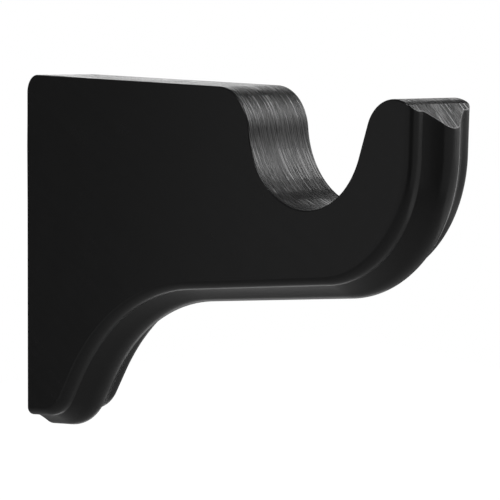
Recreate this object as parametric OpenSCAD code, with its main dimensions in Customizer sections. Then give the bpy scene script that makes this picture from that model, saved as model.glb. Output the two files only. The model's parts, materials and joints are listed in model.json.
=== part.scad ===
// Return bracket for a wooden curtain pole, sawn from one board and moulded along
// its lower edge. The board stands on edge against the wall: X runs away from the
// wall, Y is the board's thickness and Z is up. The origin is on the wall face, in
// the middle of the thickness, level with the axis of the pole.

/* [Board] */
// Thickness of the board
board_t = 19; // [14:0.5:30]
// From the pole's axis up to the top edge of the board
top_above_axis = 7.5; // [6:0.5:10]
// From the pole's axis down to the underside of the foot at the wall
foot_below_axis = 91.3; // [84:0.1:110]
// From the wall to the front of the tip
reach = 150.2; // [149:0.1:156]
// Radius of the corner where the top edge meets the wall face
corner_r = 5; // [2:0.5:6]

/* [Cradle] */
// From the wall to the axis of the pole
pole_x = 113; // [110:1:114]
// Radius of the round seat for the pole
cradle_r = 19; // [16:0.5:20]
// Radius of the rounded lip on the wall side of the seat
rear_lip_r = 11; // [8:0.5:12]
// Radius of the rounded lip on the tip's side of the seat
tip_lip_r = 8.3; // [7:0.1:8.8]
// How far the lip at the tip stays below the top edge of the board
tip_drop = 0.4; // [0:0.1:1]
// Lean of the short straight run from the seat up to the lip at the tip, in degrees
run_lean = 18.5; // [15:0.5:21]

/* [Tip] */
// How far the lip runs on past its crown before the front facet starts
crown_run = 3.4; // [2.5:0.1:4]
// Slope of the front facet below level, in degrees
facet_deg = 44; // [35:1:55]

/* [Lower edge] */
// Radius of the curve under the tip
belly_r = 34.3; // [30:0.1:38]
// How far the centre of that curve lies below the pole's axis
belly_below_axis = 4.9; // [2:0.1:8]
// Rise of the arm's underside towards the tip, in degrees
arm_rise = 8.6; // [4:0.2:10]
// From the wall to where the arm's underside starts to bend down
cove_x = 71; // [66:1:76]
// Radius of the hollow curve between the arm and the foot
cove_r = 66.7; // [50:0.1:72]
// Steepest slope of the hollow curve, where it meets the foot, in degrees
slope_deg = 57; // [50:1:62]
// Radius of the rounded toe of the foot
foot_r = 16.8; // [12:0.1:18]
// Rise of the foot's underside away from the wall, in degrees
toe_rise = 9; // [4:1:12]

/* [Moulding] */
// Radius of the quarter round next to each side face
round_r = 2.4; // [1.5:0.1:3]
// From the side face to the crease between the quarter round and the ogee
crease_in = 3.3; // [2.8:0.1:3.6]
// Height of the ogee above the crease
ogee_h = 3.5; // [2.8:0.1:3.8]
// Radius of the ogee's nose in the middle of the thickness
nose_r = 4.2; // [3:0.1:5]
// Steepest slope of the ogee, in degrees
ogee_deg = 40; // [37:1:44]

/* [Wall fixing] */
// Radius of the two pilot bores for hanger bolts in the wall face
pilot_r = 2.4; // [1.5:0.1:3]
// Depth of each pilot bore
pilot_depth = 25; // [20:1:30]
// From the pole's axis down to the upper bore
upper_pilot_below = 12; // [8:1:20]
// From the pole's axis down to the lower bore
lower_pilot_below = 55; // [40:1:58]

/* [Hidden] */
$fn = 96;
paint = [0.1, 0.1, 0.1];
// Overrun of a cut past the face that it opens
over = 4;
// How far the moulded strip reaches into the board behind it
strip_in = 3;
// How far each curve at the seat laps over the line that it touches, so that the two
// meet at an edge
lip_lap = 0.02;
// Steps along each curve of the lower edge: the foot, the hollow and the belly
foot_steps = 8;
cove_steps = 10;
belly_steps = 18;
// Steps around each curve of the cutter's outline
cutter_steps = 4;

top_z = top_above_axis;
sky = top_z + over;
half_t = board_t / 2;
mould_h = round_r + ogee_h;

// Points at even steps from one value to another
function steps(from, to, count) = [for (k = [0:count]) from + (to - from) * k / count];
function at_angle(centre, radius, angle) = centre + radius * [sin(angle), -cos(angle)];
function ahead(angle) = [cos(angle), sin(angle)];
function inward(angle) = [-sin(angle), cos(angle)];

// Lower edge, as the path of the moulding's nose in the side view. Straight runs join
// the curves at a tangent: the toe, the slope, the arm's underside and the front.
belly_c = [reach - belly_r, -belly_below_axis];
arm_end = at_angle(belly_c, belly_r, arm_rise);
arm_start = arm_end - (arm_end[0] - cove_x) / cos(arm_rise) * ahead(arm_rise);
cove_c = arm_start - cove_r * inward(arm_rise);
slope_end = at_angle(cove_c, -cove_r, slope_deg);
toe_start = [0, -foot_below_axis];
toe_rail = toe_start + foot_r * inward(toe_rise);
toe_len = (foot_r - (toe_rail - slope_end) * inward(slope_deg))
    / (ahead(toe_rise) * inward(slope_deg));
foot_c = toe_rail + toe_len * ahead(toe_rise);

// Places along the curves of that path, each with its point and its direction
stations = concat(
    [for (a = steps(toe_rise, slope_deg, foot_steps)) [at_angle(foot_c, foot_r, a), a]],
    [for (a = steps(slope_deg, arm_rise, cove_steps)) [at_angle(cove_c, -cove_r, a), a]],
    [for (a = steps(arm_rise, 90, belly_steps)) [at_angle(belly_c, belly_r, a), a]]
);

// The cutter's outline, as the depth in from the nose and the place in the thickness.
// It runs from a side face round the quarter round to the crease, then down the
// ogee's hollow and round its nose, which lies in the middle of the thickness.
crease = [ogee_h, half_t - crease_in];
bend = nose_r * [1 - cos(ogee_deg), sin(ogee_deg)];
chord = crease - bend;
hollow_half = ogee_deg - atan2(chord[0], chord[1]);
hollow_r = norm(chord) / (2 * sin(hollow_half));
hollow_c = bend + hollow_r * [-cos(ogee_deg), sin(ogee_deg)];
half_cut = concat(
    [for (a = steps(0, 90, cutter_steps))
        [mould_h - round_r * sin(a), half_t - round_r + round_r * cos(a)]],
    [for (a = steps(ogee_deg - 2 * hollow_half, ogee_deg, cutter_steps))
        hollow_c + hollow_r * [cos(a), -sin(a)]],
    [for (a = steps(ogee_deg, 0, cutter_steps)) if (a < ogee_deg)
        nose_r * [1 - cos(a), sin(a)]]
);
last = len(half_cut) - 1;
cut = concat(
    half_cut,
    [for (k = [1:last]) [half_cut[last - k][0], -half_cut[last - k][1]]]
);

// Lips of the seat. The one on the wall side is a circle that meets the seat's circle
// from outside.
rear_reach = cradle_r + rear_lip_r - lip_lap;
rear_lip_z = top_z - rear_lip_r;
rear_lip = [pole_x - sqrt(pow(rear_reach, 2) - pow(rear_lip_z, 2)), rear_lip_z];

// The one at the tip is joined to the seat by a straight run that touches both circles
run_side = [cos(run_lean), -sin(run_lean)];
tip_reach = cradle_r + tip_lip_r - 2 * lip_lap;
tip_lip_z = top_z - tip_drop - tip_lip_r;
tip_lip = [pole_x + (tip_reach - tip_lip_z * run_side[1]) / run_side[0], tip_lip_z];
run_foot = [pole_x, 0] + (cradle_r - lip_lap) * run_side;
run_head = tip_lip - (tip_lip_r - lip_lap) * run_side;
facet_start = tip_lip + [crown_run, sqrt(pow(tip_lip_r, 2) - pow(crown_run, 2))];

// Moulded strip along the whole lower edge, left long at the wall and at the top. Its
// rings of points are the cutter's outline, closed behind inside the board.
module moulded_strip() {
    behind = mould_h + strip_in;
    ring = concat(cut, [[behind, -half_t], [behind, half_t]]);
    rings = concat(
        [[for (p = ring) [-over, p[1],
            toe_start[1] - over * tan(toe_rise) + p[0] / cos(toe_rise)]]],
        [for (s = stations) [for (p = ring)
            let (q = s[0] + p[0] * inward(s[1])) [q[0], p[1], q[1]]]],
        [[for (p = ring) [reach - p[0], p[1], sky]]]
    );
    n = len(ring);
    m = len(rings);
    polyhedron(
        points = [for (r = rings) each r],
        faces = concat(
            [for (i = [0:m - 2]) for (j = [0:n - 1])
                let (k = (j + 1) % n) [i * n + j, i * n + k, (i + 1) * n + k, (i + 1) * n + j]],
            [[for (j = [0:n - 1]) n - 1 - j], [for (j = [0:n - 1]) (m - 1) * n + j]]
        )
    );
}

// Flat board above that strip, in the side view
module board_outline() {
    depth = mould_h + strip_in / 2;
    polygon(concat(
        [[-over, toe_start[1] - over * tan(toe_rise) + depth / cos(toe_rise)]],
        [for (s = stations) s[0] + depth * inward(s[1])],
        [[reach - depth, sky], [-over, sky]]
    ));
}

// Side view of the throat between the two lips, open to the sky, with the tip's facet
module throat() {
    difference() {
        polygon([
            [pole_x, 0], rear_lip, [rear_lip[0], sky + over],
            [facet_start[0], sky + over], facet_start, tip_lip, run_head, run_foot
        ]);
        translate(rear_lip)
            circle(r = rear_lip_r);
        translate(tip_lip)
            circle(r = tip_lip_r);
    }
    polygon([
        facet_start + over * [-cos(facet_deg), sin(facet_deg)],
        [facet_start[0] - over * cos(facet_deg), sky + over],
        [reach + over, sky + over],
        [reach + over, facet_start[1] - (reach + over - facet_start[0]) * tan(facet_deg)]
    ]);
}

// Side view of what is trimmed square at the top and at the wall, and of the
// rounded corner between them
module trimmings() {
    translate([-2 * over, top_z])
        square([reach + 3 * over, 2 * over]);
    translate([-2 * over, -foot_below_axis - 2 * over])
        square([2 * over, foot_below_axis + top_z + 3 * over]);
    difference() {
        translate([-over, top_z - corner_r])
            square([corner_r + over, corner_r + over]);
        translate([corner_r, top_z - corner_r])
            circle(r = corner_r);
    }
}

// A side view, cut right through the thickness
module saw() {
    rotate([90, 0, 0])
        linear_extrude(board_t + 2 * over, center = true)
            children();
}

// Blind pilot bore in the wall face
module pilot_bore(below) {
    translate([-over, 0, -below])
        rotate([0, 90, 0])
            cylinder(r = pilot_r, h = pilot_depth + over);
}

// The whole bracket: one board, moulded, sawn and bored
module bracket() {
    color(paint)
        difference() {
            union() {
                moulded_strip();
                rotate([90, 0, 0])
                    linear_extrude(board_t, center = true)
                        board_outline();
            }
            saw() {
                translate([pole_x, 0])
                    circle(r = cradle_r);
                throat();
                trimmings();
            }
            pilot_bore(upper_pilot_below);
            pilot_bore(lower_pilot_below);
        }
}

bracket();
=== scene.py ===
import json
import math

import bmesh
import bpy
import numpy as np
from mathutils import Matrix, Vector
from mathutils.geometry import tessellate_polygon


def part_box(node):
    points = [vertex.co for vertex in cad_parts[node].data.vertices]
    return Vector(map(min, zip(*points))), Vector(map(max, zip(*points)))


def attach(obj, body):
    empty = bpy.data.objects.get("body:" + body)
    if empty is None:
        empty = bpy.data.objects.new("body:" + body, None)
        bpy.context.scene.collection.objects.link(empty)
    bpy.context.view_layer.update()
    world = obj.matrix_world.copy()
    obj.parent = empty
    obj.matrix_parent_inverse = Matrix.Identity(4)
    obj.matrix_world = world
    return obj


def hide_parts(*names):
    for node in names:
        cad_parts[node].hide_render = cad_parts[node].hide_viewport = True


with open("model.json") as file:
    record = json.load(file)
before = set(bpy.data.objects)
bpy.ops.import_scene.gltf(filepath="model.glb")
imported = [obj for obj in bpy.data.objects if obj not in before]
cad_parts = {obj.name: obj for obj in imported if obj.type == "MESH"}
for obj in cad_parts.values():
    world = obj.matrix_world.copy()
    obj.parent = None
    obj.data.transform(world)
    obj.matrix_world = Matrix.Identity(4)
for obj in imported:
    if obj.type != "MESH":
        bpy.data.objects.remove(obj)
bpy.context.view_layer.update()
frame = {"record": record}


# The blank. The bracket is sawn from one board of close-grained hardwood, three quarters
# of an inch thick. Its upper edge is cut to a cradle between two rounded lips, and the
# tip is cut back by a slanted facet. The side view is worked in complex numbers, x + iz.
MM = 0.001
low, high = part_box("bracket")
reach, half_t, top_z = high.x, high.y, high.z
mounts = {mount["name"]: mount for mount in frame["record"]["mounts"]}
pole_x = mounts["pole_cradle"]["pos_m"][0]
cradle_r = mounts["pole_cradle"]["dims"]["r_mm"] * MM
corner_r = 5 * MM
rear_lip_r = 11 * MM
tip_lip_r = 8.3 * MM
tip_drop = 0.4 * MM
run_turn = 71.5
crown_run = 4.0 * MM
facet_turn = -45
arc_points = 240


def inward(turn):
    """The direction on the left of the travel, i times the direction of travel."""
    return 1j * np.exp(1j * np.radians(turn))


def arc(centre, radius, start, end):
    """A finely stepped arc of the side view, as points and their turns in degrees. A point
    is the centre less the radius times the direction on the left of the travel, so the
    centre lies on that side, or on the other where the radius is negative."""
    turn = np.linspace(start, end, arc_points)
    return centre - radius * inward(turn), turn


def spot(point, turn):
    """One point of a path with its turn, to end a straight run."""
    return np.array([point]), np.array([turn])


def stations(count, *parts, pace=3 * MM, bend=2.5):
    """Points and turns along a path of arcs joined by straight runs. They are even in a
    measure that adds the length over the pace to the turning over the bend, so the curves
    get most of them."""
    points, turn = (np.concatenate(part) for part in zip(*parts))
    measure = np.abs(np.diff(points)) / pace + np.abs(np.diff(turn)) / bend
    along = np.concatenate([[0], np.cumsum(measure)])
    at = np.linspace(0, along[-1], count)
    return np.interp(at, along, points), np.interp(at, along, turn)


rear_lip_z = top_z - rear_lip_r
rear_reach = cradle_r + rear_lip_r
rear_lip = complex(pole_x - math.sqrt(rear_reach ** 2 - rear_lip_z ** 2), rear_lip_z)
seat_in = math.degrees(np.angle(pole_x - rear_lip)) - 90

# A short straight run leads up from the seat to the lip at the tip, and touches both
run_side = -inward(run_turn)
tip_lip_z = top_z - tip_drop - tip_lip_r
tip_reach = cradle_r + tip_lip_r
tip_lip = complex(pole_x + (tip_reach - tip_lip_z * run_side.imag) / run_side.real, tip_lip_z)
crown_turn = -math.degrees(math.asin(crown_run / tip_lip_r))
facet_start = tip_lip + tip_lip_r * inward(crown_turn)


def top_at(x):
    """Height of the upper edge at the tip. On the lip it is the centre's height plus the
    root of the radius squared less the distance from the centre squared. Past the facet's
    start it falls along a straight line at the facet's slope."""
    lip = tip_lip.imag + np.sqrt(np.maximum(tip_lip_r ** 2 - (x - tip_lip.real) ** 2, 0))
    facet = facet_start.imag + (x - facet_start.real) * math.tan(math.radians(facet_turn))
    return np.where(x <= facet_start.real, lip, facet)


# The moulded lower edge. A shaped cutter has run along the whole of it on both sides, and
# left a quarter round, a small flat, a crease and a hollow that swells into a round nose.
# The nose follows the foot, a hollow curve, the arm and the round belly under the tip.
round_r = 2.4 * MM
crease_in = 3.3 * MM
ogee_h = 3.5 * MM
nose_r = 4.2 * MM
ogee_turn = 40
belly_r = 34.3 * MM
belly_z = -4.9 * MM
arm_rise = 8.6
cove_x = 71 * MM
cove_r = 66.7 * MM
slope = 57
foot_r = 16.8 * MM
toe_rise = 9
mould_h = round_r + ogee_h
shoulder_x = reach - mould_h
cut_points = 14


def cutter():
    """The cutter's outline from a side face to the nose, as depth + i * place in the
    thickness, and its outward normals: a quarter circle, then a hollow arc from the crease
    to the bend, then the nose's arc. One point lies where the facet will start."""
    crease = complex(ogee_h, half_t - crease_in)
    bend = nose_r * (1 - np.exp(-1j * math.radians(ogee_turn)))
    chord = crease - bend
    half_angle = math.radians(ogee_turn) - math.atan2(chord.real, chord.imag)
    hollow_r = abs(chord) / (2 * math.sin(half_angle))
    hollow = bend - hollow_r * np.exp(-1j * math.radians(ogee_turn))
    facet_angle = math.asin((facet_start.real - shoulder_x) / round_r)
    quarter = np.sort(np.append(np.linspace(0, math.pi / 2, cut_points), facet_angle))
    dip = np.linspace(math.radians(ogee_turn) - 2 * half_angle, math.radians(ogee_turn),
                      cut_points)
    nose = np.radians(np.linspace(ogee_turn, 0, cut_points)[1:])
    quarter, dip, nose = 1j * np.exp(1j * quarter), -np.exp(-1j * dip), -np.exp(-1j * nose)
    points = np.concatenate([complex(mould_h, half_t - round_r) + round_r * quarter,
                             hollow - hollow_r * dip, nose_r * (1 + nose)])
    mitre = (quarter[-1] + dip[0]) / abs(quarter[-1] + dip[0])
    normals = np.concatenate([quarter, [mitre], dip[1:], nose])
    return points, normals


def along(a, b):
    """Scalar product of two directions of the side view."""
    return (a * np.conj(b)).real


cut, cut_normal = cutter()
belly = complex(reach - belly_r, belly_z)
arm_end = belly - belly_r * inward(arm_rise)
arm_run = (arm_end.real - cove_x) / math.cos(math.radians(arm_rise))
arm_start = arm_end + 1j * arm_run * inward(arm_rise)
cove = arm_start - cove_r * inward(arm_rise)
slope_end = cove + cove_r * inward(slope)
toe = complex(0, low.z)
toe_ahead = -1j * inward(toe_rise)
toe_rail = toe + foot_r * inward(toe_rise)
slope_in = inward(slope)
toe_run = (foot_r - along(toe_rail - slope_end, slope_in)) / along(toe_ahead, slope_in)
foot = toe_rail + toe_run * toe_ahead


# The body, as one closed skin. Rings run round it from the wall to the tip, each down a
# side face from the upper edge and round the moulding. Sanding has softened every arris
# to a small radius, which the paint follows. Two pilot bores enter the wall face.
arris_r = 0.35 * MM
arris_rows = 8
face_rows = 6
across = 24
bore_points = 48

# Rings along the foot and the hollow, along the arm, and round the belly to the tip. The
# nose runs up the front past the front's turn, and equal lengths may stray by the rounding.
ring_counts = (120, 70, 130)
front_turn = 89
rounding = 1e-9
shoulder = complex(shoulder_x, float(top_at(shoulder_x)))
shoulder_turn = -math.degrees(math.asin((shoulder_x - tip_lip.real) / tip_lip_r))


def joined(runs):
    """Points and turns of several runs of stations, each starting where one ends."""
    return tuple(np.concatenate([part[0], *(p[1:] for p in part[1:])]) for part in
                 [[run[k] for run in runs] for k in range(2)])


nose, nose_turn = joined([
    stations(ring_counts[0], spot(toe, toe_rise), arc(foot, foot_r, toe_rise, slope),
             arc(cove, -cove_r, slope, arm_rise)),
    stations(ring_counts[1], spot(arm_start, arm_rise), spot(arm_end, arm_rise)),
    stations(ring_counts[2], arc(belly, belly_r, arm_rise, 90),
             spot(complex(reach, shoulder.imag), 90)),
])
upper, upper_turn = joined([
    stations(ring_counts[0], arc(complex(corner_r, top_z - corner_r), -corner_r, 90, 0),
             spot(complex(rear_lip.real, top_z), 0)),
    stations(ring_counts[1], arc(rear_lip, -rear_lip_r, 0, seat_in),
             arc(pole_x, cradle_r, seat_in, 0)),
    stations(ring_counts[2], arc(pole_x, cradle_r, 0, run_turn),
             arc(tip_lip, -tip_lip_r, run_turn, shoulder_turn)),
])


def solid(plane, y):
    """Side-view points as points in space, at the places y in the thickness."""
    plane, y = np.broadcast_arrays(plane, y)
    return np.stack([plane.real, y, plane.imag], -1)


def cut_facing(turn):
    """Outward normals of the cutter's outline where the path has that turn: the part along
    the depth lies on the path's inward direction, and the rest in the thickness."""
    return solid(cut_normal.real * inward(turn), -cut_normal.imag)


def soften(edge, side, top):
    """Rows that round an edge between two faces with outward normals side and top. Their
    centre lies one radius inside both faces, and they turn from side to top."""
    spread = (side * top).sum(-1, keepdims=True)
    centre = edge - arris_r * (side + top) / (1 + spread)
    angle = np.arccos(spread)
    share = np.linspace(0, 1, arris_rows).reshape(-1, 1, 1)
    normal = np.sin((1 - share) * angle) * side + np.sin(share * angle) * top
    return centre + arris_r * normal / np.sin(angle)


# Rings on the near half: the moulding's columns run square in from the nose, end on the
# wall plane at the foot and end on the upper edge at the tip
moulding = nose[:, None] + cut.real * inward(nose_turn)[:, None]
moulding[0] = 1j * (low.z + cut.real / math.cos(math.radians(toe_rise)))
on_front = nose_turn > front_turn
rise = np.maximum(nose.imag - belly_z, 0) / (shoulder.imag - belly_z) * on_front
moulding += 1j * rise[:, None] * (top_at(moulding.real) - shoulder.imag)
down = np.linspace(0, 1, face_rows + 1)[:-1]
face = upper[:, None] + down * (moulding[:, :1] - upper[:, None])
near = np.concatenate([solid(face, -half_t), solid(moulding, -cut.imag)], 1)

# The arris round the near half: along the foot and up the wall edge, along the upper edge,
# and round the moulding's end at the tip
flat = np.array([0.0, -1.0, 0.0])
wall = np.array([-1.0, 0.0, 0.0])
on_lip = cut.real > reach - facet_start.real - rounding
crown = (moulding[-1] - tip_lip) / tip_lip_r
crown = np.where(on_lip, crown / abs(crown), inward(facet_turn))
wall_side = np.concatenate([np.tile(flat, (face_rows, 1)), cut_facing(toe_rise)])[::-1]
edge = np.concatenate([near[0, ::-1], near[:, 0], near[-1, face_rows:]])
side = np.concatenate([wall_side, np.tile(flat, (len(upper), 1)), cut_facing(90)])
top = np.concatenate([np.tile(wall, (len(wall_side), 1)), solid(inward(upper_turn), 0),
                      solid(crown, 0)])
arris = soften(edge, side, top)
wall_end, upper_end = len(wall_side), len(wall_side) + len(upper)
near[0, ::-1] = arris[0, :wall_end]
near[:, 0] = arris[0, wall_end:upper_end]
near[-1, face_rows:] = arris[0, upper_end:]
near[-1, :face_rows] = arris[0, upper_end]

skin_points, skin_faces, skin_finish = [], [], []


def add_faces(points, faces, finish):
    """Adds faces to the skin, given as rows of numbers into their own points."""
    start = sum(len(part) for part in skin_points)
    skin_points.append(points)
    skin_faces.extend([[start + k for k in one] for one in faces])
    skin_finish.extend([finish] * len(faces))


def add_grid(grid, finish):
    """Adds a grid of points as quads: each point, the next in its row, and the two beside
    them in the next row."""
    rows, columns = grid.shape[:2]
    first = (np.arange(rows - 1)[:, None] * columns + np.arange(columns - 1)).ravel()
    quads = first[:, None] + np.array([0, 1, columns + 1, columns])
    add_faces(grid.reshape(-1, 3), quads.tolist(), finish)


def add_polygon(points, finish):
    """Adds one flat face with many corners."""
    add_faces(points, [list(range(len(points)))], finish)


MOULDED, SAWN = 0, 1
mirror = np.array([1.0, -1.0, 1.0])
add_grid(near, MOULDED)
add_grid(near * mirror, MOULDED)
add_grid(arris, MOULDED)
add_grid(arris * mirror, MOULDED)

# The sawn upper edge: straight rows across the thickness, and the flat facet at the tip
rim = arris[-1]
lip_end = upper_end + int(on_lip.sum())
sweep = np.linspace(1, -1, across + 1)
rows = rim[wall_end:lip_end, None] * np.stack([sweep ** 0, sweep, sweep ** 0], -1)
add_grid(rows, SAWN)
facet_side = rim[lip_end:]
add_polygon(np.concatenate([rows[-1, ::-1], facet_side, facet_side[:-1][::-1] * mirror]), SAWN)

# The wall face round the mouths of its bores, and the bores
turn = np.linspace(0, 2 * math.pi, bore_points, endpoint=False)
outline = [np.concatenate([rim[:wall_end], rows[0, 1:-1], rim[1:wall_end][::-1] * mirror])]
for name in ("upper_pilot", "lower_pilot"):
    bore_r = mounts[name]["dims"]["r_mm"] * MM
    bore_depth = mounts[name]["dims"]["length_mm"] * MM
    mouth = np.stack([0 * turn, bore_r * np.cos(turn), bore_r * np.sin(turn)], -1)
    mouth += np.array(mounts[name]["pos_m"])
    end = mouth + np.array([bore_depth, 0, 0])
    outline.append(mouth)
    add_grid(np.stack([mouth, end])[:, np.append(np.arange(bore_points), 0)], SAWN)
    add_polygon(end, SAWN)
wall_faces = tessellate_polygon([[Vector(point) for point in loop] for loop in outline])
add_faces(np.concatenate(outline), wall_faces, MOULDED)

# The parts are welded into one skin. Edges that turn further than the crisp limit, such as
# the crease and the mouths of the bores, stay crisp, and all others are shaded smooth.
weld = 0.002 * MM
crisp_turn = 15
mesh = bpy.data.meshes.new("painted_bracket")
mesh.from_pydata(np.concatenate(skin_points).tolist(), [], skin_faces)
mesh.polygons.foreach_set("material_index", skin_finish)
work = bmesh.new()
work.from_mesh(mesh)
bmesh.ops.remove_doubles(work, verts=work.verts, dist=weld)
bmesh.ops.dissolve_degenerate(work, edges=work.edges, dist=weld)
bmesh.ops.recalc_face_normals(work, faces=work.faces)
work.to_mesh(mesh)
work.free()
mesh.shade_smooth()
mesh.set_sharp_from_angle(angle=math.radians(crisp_turn))
bracket = bpy.data.objects.new("painted_bracket", mesh)
bpy.context.scene.collection.objects.link(bracket)
weighted = bracket.modifiers.new("flat faces stay flat", "WEIGHTED_NORMAL")
weighted.keep_sharp = True
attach(bracket, "root")
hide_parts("bracket")


# The finish. Black lacquer was sprayed over the sanded wood. On the faces and the moulding
# it lies nearly even and satin. On the sawn upper edge it is glossier, and sinks into fine
# streaks along the cut, which are duller where they stand proud. There its colour also
# carries a painted sheen along the streaks, lighter between them and darker on top.
PAINT = (0.0105, 0.0105, 0.0107, 1)
SATIN = 0.24
GLOSS = 0.12

# Scales of the noises, in features to a metre, for the streaks along each axis. Then the
# fine streaks' share, the slant of the streaks to the board, and the values of the noise
# between which a streak rises from 0 to 1.
PEBBLES, CLOUDS = 900.0, 90.0
LONG_STREAKS = (40.0, 3000.0, 40.0)
FINE_STREAKS = (110.0, 6000.0, 110.0)
FINE_SHARE = 0.4
STREAK_SLANT = (math.radians(-6), 0.0, math.radians(3))
STREAK_LOW, STREAK_HIGH = 0.43, 0.57


def new_group(name, inputs, outputs):
    """A shader node group with those inputs and with plain numbers as outputs, and its two
    end nodes."""
    group = bpy.data.node_groups.new(name, "ShaderNodeTree")
    for label, kind, value in inputs:
        socket = group.interface.new_socket(label, in_out="INPUT", socket_type=kind)
        if value is not None:
            socket.default_value = value
    for label in outputs:
        group.interface.new_socket(label, in_out="OUTPUT", socket_type="NodeSocketFloat")
    return group, group.nodes.new("NodeGroupInput"), group.nodes.new("NodeGroupOutput")


def add_node(tree, kind, inputs=(), **settings):
    """A node of that kind, with its settings, and its inputs set or linked by name."""
    node = tree.nodes.new(kind)
    for key, value in settings.items():
        setattr(node, key, value)
    for key, value in dict(inputs).items():
        if isinstance(value, bpy.types.NodeSocket):
            tree.links.new(value, node.inputs[key])
        else:
            node.inputs[key].default_value = value
    return node


def sprayed_skin():
    """Group: the fine pebbling of sprayed lacquer, as a roughness and a height. Two noises
    of different sizes are added, and the roughness strays from its plain value with them."""
    group, given, made = new_group(
        "sprayed_skin",
        [("Vector", "NodeSocketVector", None), ("Roughness", "NodeSocketFloat", SATIN),
         ("Stray", "NodeSocketFloat", 0.05)], ["Roughness", "Height"])
    pebble = add_node(group, "ShaderNodeTexNoise",
                      {"Vector": given.outputs["Vector"], "Scale": PEBBLES, "Detail": 3.0})
    cloud = add_node(group, "ShaderNodeTexNoise",
                     {"Vector": given.outputs["Vector"], "Scale": CLOUDS, "Detail": 2.0})
    mixed = add_node(group, "ShaderNodeMath",
                     {0: pebble.outputs["Fac"], 1: cloud.outputs["Fac"]}, operation="ADD")
    centred = add_node(group, "ShaderNodeMath", {0: mixed.outputs[0], 1: 1.0},
                       operation="SUBTRACT")
    rough = add_node(group, "ShaderNodeMath",
                     {0: centred.outputs[0], 1: given.outputs["Stray"],
                      2: given.outputs["Roughness"]}, operation="MULTIPLY_ADD")
    group.links.new(rough.outputs[0], made.inputs["Roughness"])
    group.links.new(pebble.outputs["Fac"], made.inputs["Height"])
    return group


def saw_streaks():
    """Group: streaks that run along a cut, as a value from 0 to 1. The noise is stretched
    along the cut, and a second, finer one breaks the streaks up."""
    group, given, made = new_group(
        "saw_streaks", [("Vector", "NodeSocketVector", None)], ["Streak"])
    slant = add_node(group, "ShaderNodeMapping",
                     {"Vector": given.outputs["Vector"], "Rotation": STREAK_SLANT})
    long_map = add_node(group, "ShaderNodeMapping",
                        {"Vector": slant.outputs[0], "Scale": LONG_STREAKS})
    fine_map = add_node(group, "ShaderNodeMapping",
                        {"Vector": slant.outputs[0], "Scale": FINE_STREAKS})
    long_noise = add_node(group, "ShaderNodeTexNoise",
                          {"Vector": long_map.outputs[0], "Scale": 1.0, "Detail": 1.0})
    fine_noise = add_node(group, "ShaderNodeTexNoise",
                          {"Vector": fine_map.outputs[0], "Scale": 1.0, "Detail": 2.0})
    both = add_node(group, "ShaderNodeMix",
                    {"Factor": FINE_SHARE, "A": long_noise.outputs["Fac"],
                     "B": fine_noise.outputs["Fac"]})
    spread = add_node(group, "ShaderNodeMapRange",
                      {"Value": both.outputs["Result"], "From Min": STREAK_LOW,
                       "From Max": STREAK_HIGH})
    group.links.new(spread.outputs["Result"], made.inputs["Streak"])
    return group


skin_group, streak_group = sprayed_skin(), saw_streaks()


def lacquer(name, roughness, streak_depth, pebble_depth, streak_rough, painted_sheen):
    """Black lacquer: the skin's roughness and pebbling, and below them the streaks, which
    lift the roughness and the height of the surface where they run. Depths are in metres.
    Where there is a tint, it is a painted sheen: the colour runs with the streaks from the
    plain one times one plus the tint, between them, to the plain one times one less the tint,
    on top of them, so lighter lines stand in for the streaky reflection."""
    material = bpy.data.materials.new(name)
    material.use_nodes = True
    tree = material.node_tree
    shader = tree.nodes["Principled BSDF"]
    place = add_node(tree, "ShaderNodeTexCoord").outputs["Object"]
    skin = add_node(tree, "ShaderNodeGroup", node_tree=skin_group)
    tree.links.new(place, skin.inputs["Vector"])
    skin.inputs["Roughness"].default_value = roughness
    streak = add_node(tree, "ShaderNodeGroup", node_tree=streak_group)
    tree.links.new(place, streak.inputs["Vector"])
    rough = add_node(tree, "ShaderNodeMath",
                     {0: streak.outputs["Streak"], 1: streak_rough,
                      2: skin.outputs["Roughness"]}, operation="MULTIPLY_ADD")
    tree.links.new(rough.outputs[0], shader.inputs["Roughness"])
    ridges = add_node(tree, "ShaderNodeBump",
                      {"Height": streak.outputs["Streak"], "Distance": streak_depth,
                       "Strength": 1.0})
    pebbled = add_node(tree, "ShaderNodeBump",
                       {"Height": skin.outputs["Height"], "Distance": pebble_depth,
                        "Normal": ridges.outputs["Normal"], "Strength": 1.0})
    tree.links.new(pebbled.outputs["Normal"], shader.inputs["Normal"])
    shader.inputs["Base Color"].default_value = PAINT
    # Painted sheen: the base colour turns lighter between the streaks and darker on top of
    # them.
    if painted_sheen:
        painted_sheen_tones = add_node(tree, "ShaderNodeMix", {"Factor": streak.outputs["Streak"]},
                         data_type="RGBA")
        for end, share in ("A", 1 + painted_sheen), ("B", 1 - painted_sheen):
            painted_sheen_tones.inputs[end].default_value = [part * share for part in PAINT[:3]] + [1]
        tree.links.new(painted_sheen_tones.outputs["Result"], shader.inputs["Base Color"])
    return material


mesh.materials.append(lacquer("black_paint_moulded", SATIN, 0.002 * MM, 0.006 * MM, 0.02, 0))
# The sawn edge's colour carries a painted sheen along its streaks.
mesh.materials.append(lacquer("black_paint_sawn", GLOSS, 0.050 * MM, 0.004 * MM, 0.30, 0.9))


# The photographer's camera, a long lens a little above the bracket, in front of its tip
# and to the right. The lens is for a square frame on a sensor 36 mm wide.
camera_data = bpy.data.cameras.new("camera")
camera_data.sensor_width = 36
camera_data.lens = 120.445
camera_data.clip_start = 10 * MM
camera_azimuth, camera_drop, camera_roll = 49.82, 7.75, 0.95
camera = bpy.data.objects.new("camera", camera_data)
camera.location = Vector((390.17, -258.25, 22.5)) * MM
camera.rotation_mode = "QUATERNION"
camera.rotation_quaternion = (
    Matrix.Rotation(math.radians(camera_azimuth), 4, "Z")
    @ Matrix.Rotation(math.radians(90 - camera_drop), 4, "X")
    @ Matrix.Rotation(math.radians(camera_roll), 4, "Z")).to_quaternion()
bpy.context.scene.collection.objects.link(camera)
bpy.context.scene.camera = camera


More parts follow.
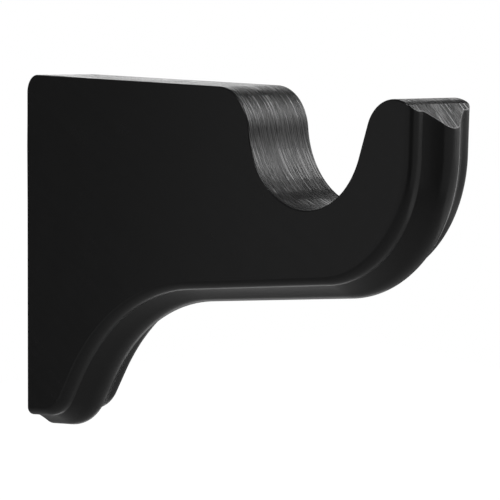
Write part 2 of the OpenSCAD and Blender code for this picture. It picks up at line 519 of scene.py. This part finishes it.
# The studio. A pale floor lies well below the bracket. Floor and room are white to the
# camera alone, since the bracket has no metal or glass that would show them. Softboxes
# stand round it, and each brightness is in parts of plain white.
centre = Vector((low + high) / 2)
floor_drop = 0.5
floor_size = 4.0
floor_grey = 0.42
room_level = 0.05


def softbox(name, bearing, height_angle, distance, width, height, brightness):
    """A square-cornered softbox that faces the bracket from a bearing, in degrees from the
    direction away from the wall, and an angle above level. Distance, width and height are
    in metres. Its power is pi times its area times its brightness, which a mirror would
    show."""
    lamp = bpy.data.lights.new(name, "AREA")
    lamp.shape = "RECTANGLE"
    lamp.size, lamp.size_y = width, height
    lamp.energy = math.pi * width * height * brightness
    box = bpy.data.objects.new(name, lamp)
    way = Matrix.Rotation(math.radians(bearing), 3, "Z") @ Matrix.Rotation(
        math.radians(-height_angle), 3, "Y") @ Vector((1, 0, 0))
    box.location = centre + way * distance
    box.rotation_mode = "QUATERNION"
    box.rotation_quaternion = (-way).to_track_quat("-Z", "Y")
    box.visible_camera = False
    bpy.context.scene.collection.objects.link(box)


# The high ones light the seat, the crest and the facet. The others are wide and dim, and
# draw the soft lines along the moulding and the rims.
softbox("key", 58, 40, 1.0, 0.60, 0.43, 5.2)
softbox("top light", 91, 48, 1.0, 0.36, 0.26, 2.0)
softbox("wall card", 162, 10, 1.2, 0.65, 1.20, 0.75)
softbox("back card", 137, 25, 1.2, 0.49, 0.57, 1.15)
softbox("low back card", 144, 4, 1.2, 0.22, 0.34, 1.10)
softbox("rim card", 108, -8, 1.2, 0.50, 0.36, 0.65)
softbox("lower key", 67, 25.2, 1.0, 0.93, 0.09, 3.2)
softbox("middle card", 67, 19.4, 1.0, 0.93, 0.11, 1.8)
softbox("right card", 67, 9, 1.0, 0.93, 0.27, 1.6)
softbox("side card", 5, -5, 1.0, 1.00, 0.70, 0.20)
softbox("low right card", 58, -20, 0.9, 1.00, 0.62, 0.37)
softbox("low wall card", 138, -46, 0.8, 0.37, 0.55, 0.45)
softbox("front card", -101, -5, 1.0, 1.70, 0.70, 0.20)
softbox("front fill", -67, 51, 1.2, 0.5, 0.5, 6.0)

floor_mesh = bpy.data.meshes.new("floor")
half, floor_z = floor_size / 2, low.z - floor_drop
floor_mesh.from_pydata([(-half, -half, floor_z), (half, -half, floor_z), (half, half, floor_z),
                        (-half, half, floor_z)], [], [(0, 1, 2, 3)])
floor = bpy.data.objects.new("floor", floor_mesh)
bpy.context.scene.collection.objects.link(floor)
floor_paint = bpy.data.materials.new("pale floor")
floor_paint.use_nodes = True
floor_tree = floor_paint.node_tree
floor_shader = floor_tree.nodes["Principled BSDF"]
floor_shader.inputs["Base Color"].default_value = (floor_grey, floor_grey, floor_grey, 1)
floor_shader.inputs["Roughness"].default_value = 0.9
floor_shader.inputs["Specular IOR Level"].default_value = 0.0
floor_shader.inputs["Emission Color"].default_value = (1, 1, 1, 1)
seen = add_node(floor_tree, "ShaderNodeLightPath")
floor_tree.links.new(seen.outputs["Is Camera Ray"], floor_shader.inputs["Emission Strength"])
floor_mesh.materials.append(floor_paint)

world = bpy.data.worlds.new("room")
world.use_nodes = True
bpy.context.scene.world = world
room = world.node_tree
background = room.nodes["Background"]
background.inputs["Color"].default_value = (1, 1, 1, 1)
path = add_node(room, "ShaderNodeLightPath")
level = add_node(room, "ShaderNodeMapRange",
                 {"Value": path.outputs["Is Camera Ray"], "To Min": room_level, "To Max": 1.0})
room.links.new(level.outputs["Result"], background.inputs["Strength"])

bpy.context.scene.view_settings.view_transform = "Standard"

bpy.context.view_layer.update()
